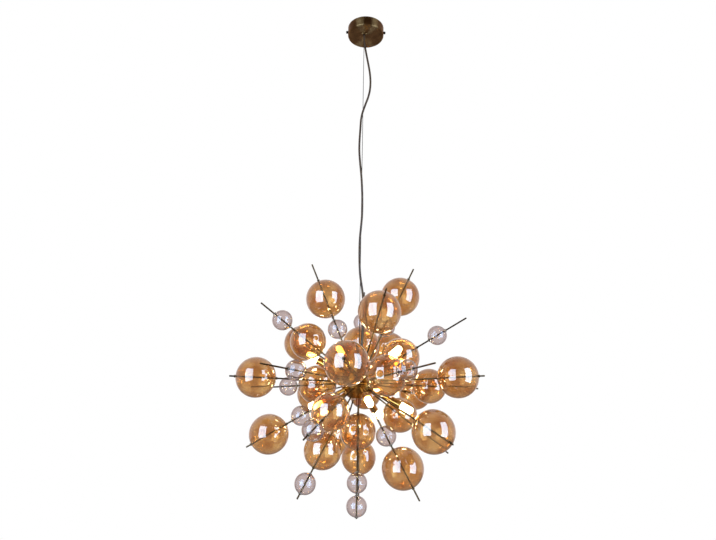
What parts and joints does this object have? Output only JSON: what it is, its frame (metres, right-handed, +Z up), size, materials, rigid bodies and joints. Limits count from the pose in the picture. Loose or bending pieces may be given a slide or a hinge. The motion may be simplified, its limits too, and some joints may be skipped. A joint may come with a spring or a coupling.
{
  "type": "pendant light",
  "caption": "Sputnik pendant light: round ceiling canopy, taut wire and loose cable, brass ball hub with radiating rods that carry amber and clear glass globes around small capsule lamps.",
  "frame": {"origin": "middle of the canopy on the ceiling plane, between the two ceiling screw holes", "axes": "+Z up into the ceiling, +X to the viewer's right along the bracket, +Y away from the viewer"},
  "size_m": [0.6364, 0.6468, 1.425],
  "materials": {
    "antique_brass": "brushed, darkened brown",
    "polished_brass": "polished",
    "blackened_screws": "blackened",
    "zinc_plated_steel": "zinc plated",
    "steel_wire": "drawn wire rope",
    "cable_sheath": "smooth grey sheath",
    "dark_nylon": "satin",
    "white_plastic": "satin",
    "lampholder_ceramic": "unglazed",
    "frosted_glass": "frosted, lit",
    "clear_glass": "clear lustre",
    "silicone": "translucent",
    "amber_glass": "amber lustre"
  },
  "bodies": {
    "ceiling_fitting": {"ceiling_bracket": "zinc_plated_steel", "canopy": "antique_brass", "canopy_screws": "blackened_screws", "terminal_block": "white_plastic", "cord_outlet": "antique_brass", "outlet_nut": "zinc_plated_steel", "cable_tail": "cable_sheath"},
    "swivel": {"wire_ball": "steel_wire"},
    "pendant": {"suspension_wire": "steel_wire", "supply_cable": "cable_sheath", "hub_body": "antique_brass", "hub_dome": "antique_brass", "hub_cap": "antique_brass", "hub_stem": "antique_brass", "bottom_nut": "antique_brass", "wire_ferrule": "antique_brass", "cable_gland": "dark_nylon", "junction_block": "white_plastic", "lamp_leads": "cable_sheath", "rods_upper": "antique_brass", "rods_equator": "antique_brass", "rods_lower": "antique_brass", "lamp_tubes": "polished_brass", "socket_cups": "polished_brass", "lampholders": "lampholder_ceramic", "bulbs": "frosted_glass", "stop_collars": "antique_brass", "clear_globes_upper": "clear_glass", "clear_globes_equator": "clear_glass", "clear_globes_lower": "clear_glass", "globe_grommets": "silicone"},
    "globe_top_1": {"amber_globe_top_1": "amber_glass"},
    "globe_top_2": {"amber_globe_top_2": "amber_glass"},
    "globe_top_3": {"amber_globe_top_3": "amber_glass"},
    "globe_upper_1": {"amber_globe_upper_1": "amber_glass"},
    "globe_upper_2": {"amber_globe_upper_2": "amber_glass"},
    "globe_upper_3": {"amber_globe_upper_3": "amber_glass"},
    "globe_upper_4": {"amber_globe_upper_4": "amber_glass"},
    "globe_upper_5": {"amber_globe_upper_5": "amber_glass"},
    "globe_equator_1": {"amber_globe_equator_1": "amber_glass"},
    "globe_equator_2": {"amber_globe_equator_2": "amber_glass"},
    "globe_equator_3": {"amber_globe_equator_3": "amber_glass"},
    "globe_equator_4": {"amber_globe_equator_4": "amber_glass"},
    "globe_equator_5": {"amber_globe_equator_5": "amber_glass"},
    "globe_equator_6": {"amber_globe_equator_6": "amber_glass"},
    "globe_equator_8": {"amber_globe_equator_8": "amber_glass"},
    "globe_equator_9": {"amber_globe_equator_9": "amber_glass"},
    "globe_equator_10": {"amber_globe_equator_10": "amber_glass"},
    "globe_lower_1": {"amber_globe_lower_1": "amber_glass"},
    "globe_lower_2": {"amber_globe_lower_2": "amber_glass"},
    "globe_lower_3": {"amber_globe_lower_3": "amber_glass"},
    "globe_lower_4": {"amber_globe_lower_4": "amber_glass"},
    "globe_lower_5": {"amber_globe_lower_5": "amber_glass"},
    "globe_bottom_1": {"amber_globe_bottom_1": "amber_glass"},
    "globe_bottom_2": {"amber_globe_bottom_2": "amber_glass"},
    "globe_bottom_3": {"amber_globe_bottom_3": "amber_glass"},
    "globe_pole_1": {"amber_globe_pole_1": "amber_glass"}
  },
  "joints": [
    {"name": "swing_sideways", "type": "hinge", "parent": "ceiling_fitting", "child": "swivel", "pos_m": [-0.005, 0, -0.025], "axis": [0, 1, 0], "range_deg": [-8, 8]},
    {"name": "swing_forward", "type": "hinge", "parent": "swivel", "child": "pendant", "pos_m": [-0.005, 0, -0.025], "axis": [1, 0, 0], "range_deg": [-8, 8]},
    {"name": "globe_top_1_spin", "type": "hinge", "parent": "pendant", "child": "globe_top_1", "pos_m": [0.00008, 0.05806, -0.99038], "axis": [0.0409, 0.4677, 0.8829], "continuous": true},
    {"name": "globe_top_2_spin", "type": "hinge", "parent": "pendant", "child": "globe_top_2", "pos_m": [-0.09311, -0.0617, -0.8977], "axis": [-0.3846, -0.2693, 0.8829], "continuous": true},
    {"name": "globe_top_3_spin", "type": "hinge", "parent": "pendant", "child": "globe_top_3", "pos_m": [0.09885, -0.04843, -0.8845], "axis": [0.4255, -0.1984, 0.8829], "continuous": true},
    {"name": "globe_upper_1_spin", "type": "hinge", "parent": "pendant", "child": "globe_upper_1", "pos_m": [0.08213, 0.19571, -0.97128], "axis": [0.3486, 0.7831, 0.515], "continuous": true},
    {"name": "globe_upper_2_spin", "type": "hinge", "parent": "pendant", "child": "globe_upper_2", "pos_m": [-0.16689, 0.14577, -0.9691], "axis": [-0.637, 0.5736, 0.515], "continuous": true},
    {"name": "globe_upper_3_spin", "type": "hinge", "parent": "pendant", "child": "globe_upper_3", "pos_m": [-0.13262, -0.07368, -1.01145], "axis": [-0.7423, -0.4286, 0.515], "continuous": true},
    {"name": "globe_upper_4_spin", "type": "hinge", "parent": "pendant", "child": "globe_upper_4", "pos_m": [0.03989, -0.21118, -0.97027], "axis": [0.1782, -0.8384, 0.515], "continuous": true},
    {"name": "globe_upper_5_spin", "type": "hinge", "parent": "pendant", "child": "globe_upper_5", "pos_m": [0.10083, -0.01112, -1.03606], "axis": [0.8525, -0.0896, 0.515], "continuous": true},
    {"name": "globe_equator_1_spin", "type": "hinge", "parent": "pendant", "child": "globe_equator_1", "pos_m": [0.18002, 0.03933, -1.1], "axis": [0.9781, 0.2079, 0], "continuous": true},
    {"name": "globe_equator_2_spin", "type": "hinge", "parent": "pendant", "child": "globe_equator_2", "pos_m": [0.15549, 0.17824, -1.1], "axis": [0.6691, 0.7431, 0], "continuous": true},
    {"name": "globe_equator_3_spin", "type": "hinge", "parent": "pendant", "child": "globe_equator_3", "pos_m": [0.01477, 0.18811, -1.1], "axis": [0.1045, 0.9945, 0], "continuous": true},
    {"name": "globe_equator_4_spin", "type": "hinge", "parent": "pendant", "child": "globe_equator_4", "pos_m": [-0.12996, 0.21644, -1.1], "axis": [-0.5, 0.866, 0], "continuous": true},
    {"name": "globe_equator_5_spin", "type": "hinge", "parent": "pendant", "child": "globe_equator_5", "pos_m": [-0.11278, 0.04798, -1.1], "axis": [-0.9135, 0.4067, 0], "continuous": true},
    {"name": "globe_equator_6_spin", "type": "hinge", "parent": "pendant", "child": "globe_equator_6", "pos_m": [-0.25932, -0.05406, -1.1], "axis": [-0.9781, -0.2079, 0], "continuous": true},
    {"name": "globe_equator_8_spin", "type": "hinge", "parent": "pendant", "child": "globe_equator_8", "pos_m": [-0.03238, -0.26051, -1.1], "axis": [-0.1045, -0.9945, 0], "continuous": true},
    {"name": "globe_equator_9_spin", "type": "hinge", "parent": "pendant", "child": "globe_equator_9", "pos_m": [0.06049, -0.11343, -1.1], "axis": [0.5, -0.866, 0], "continuous": true},
    {"name": "globe_equator_10_spin", "type": "hinge", "parent": "pendant", "child": "globe_equator_10", "pos_m": [0.23252, -0.10575, -1.1], "axis": [0.9135, -0.4067, 0], "continuous": true},
    {"name": "globe_lower_1_spin", "type": "hinge", "parent": "pendant", "child": "globe_lower_1", "pos_m": [0.10444, 0.06319, -1.17296], "axis": [0.75, 0.433, -0.5], "continuous": true},
    {"name": "globe_lower_2_spin", "type": "hinge", "parent": "pendant", "child": "globe_lower_2", "pos_m": [-0.04731, 0.19905, -1.21749], "axis": [-0.1801, 0.8471, -0.5], "continuous": true},
    {"name": "globe_lower_3_spin", "type": "hinge", "parent": "pendant", "child": "globe_lower_3", "pos_m": [-0.22893, 0.02354, -1.23], "axis": [-0.8613, 0.0905, -0.5], "continuous": true},
    {"name": "globe_lower_4_spin", "type": "hinge", "parent": "pendant", "child": "globe_lower_4", "pos_m": [-0.06911, -0.14399, -1.191], "axis": [-0.3522, -0.7912, -0.5], "continuous": true},
    {"name": "globe_lower_5_spin", "type": "hinge", "parent": "pendant", "child": "globe_lower_5", "pos_m": [0.16547, -0.15349, -1.23244], "axis": [0.6436, -0.5795, -0.5], "continuous": true},
    {"name": "globe_bottom_1_spin", "type": "hinge", "parent": "pendant", "child": "globe_bottom_1", "pos_m": [-0.0014, 0.10296, -1.27845], "axis": [0.0175, 0.4997, -0.866], "continuous": true},
    {"name": "globe_bottom_2_spin", "type": "hinge", "parent": "pendant", "child": "globe_bottom_2", "pos_m": [-0.08841, -0.05416, -1.27225], "axis": [-0.4193, -0.2723, -0.866], "continuous": true},
    {"name": "globe_bottom_3_spin", "type": "hinge", "parent": "pendant", "child": "globe_bottom_3", "pos_m": [0.10287, -0.05496, -1.30969], "axis": [0.4455, -0.227, -0.866], "continuous": true},
    {"name": "globe_pole_1_spin", "type": "hinge", "parent": "pendant", "child": "globe_pole_1", "pos_m": [-0.005, 0, -1.22188], "axis": [0, 0, -1], "continuous": true}
  ]
}
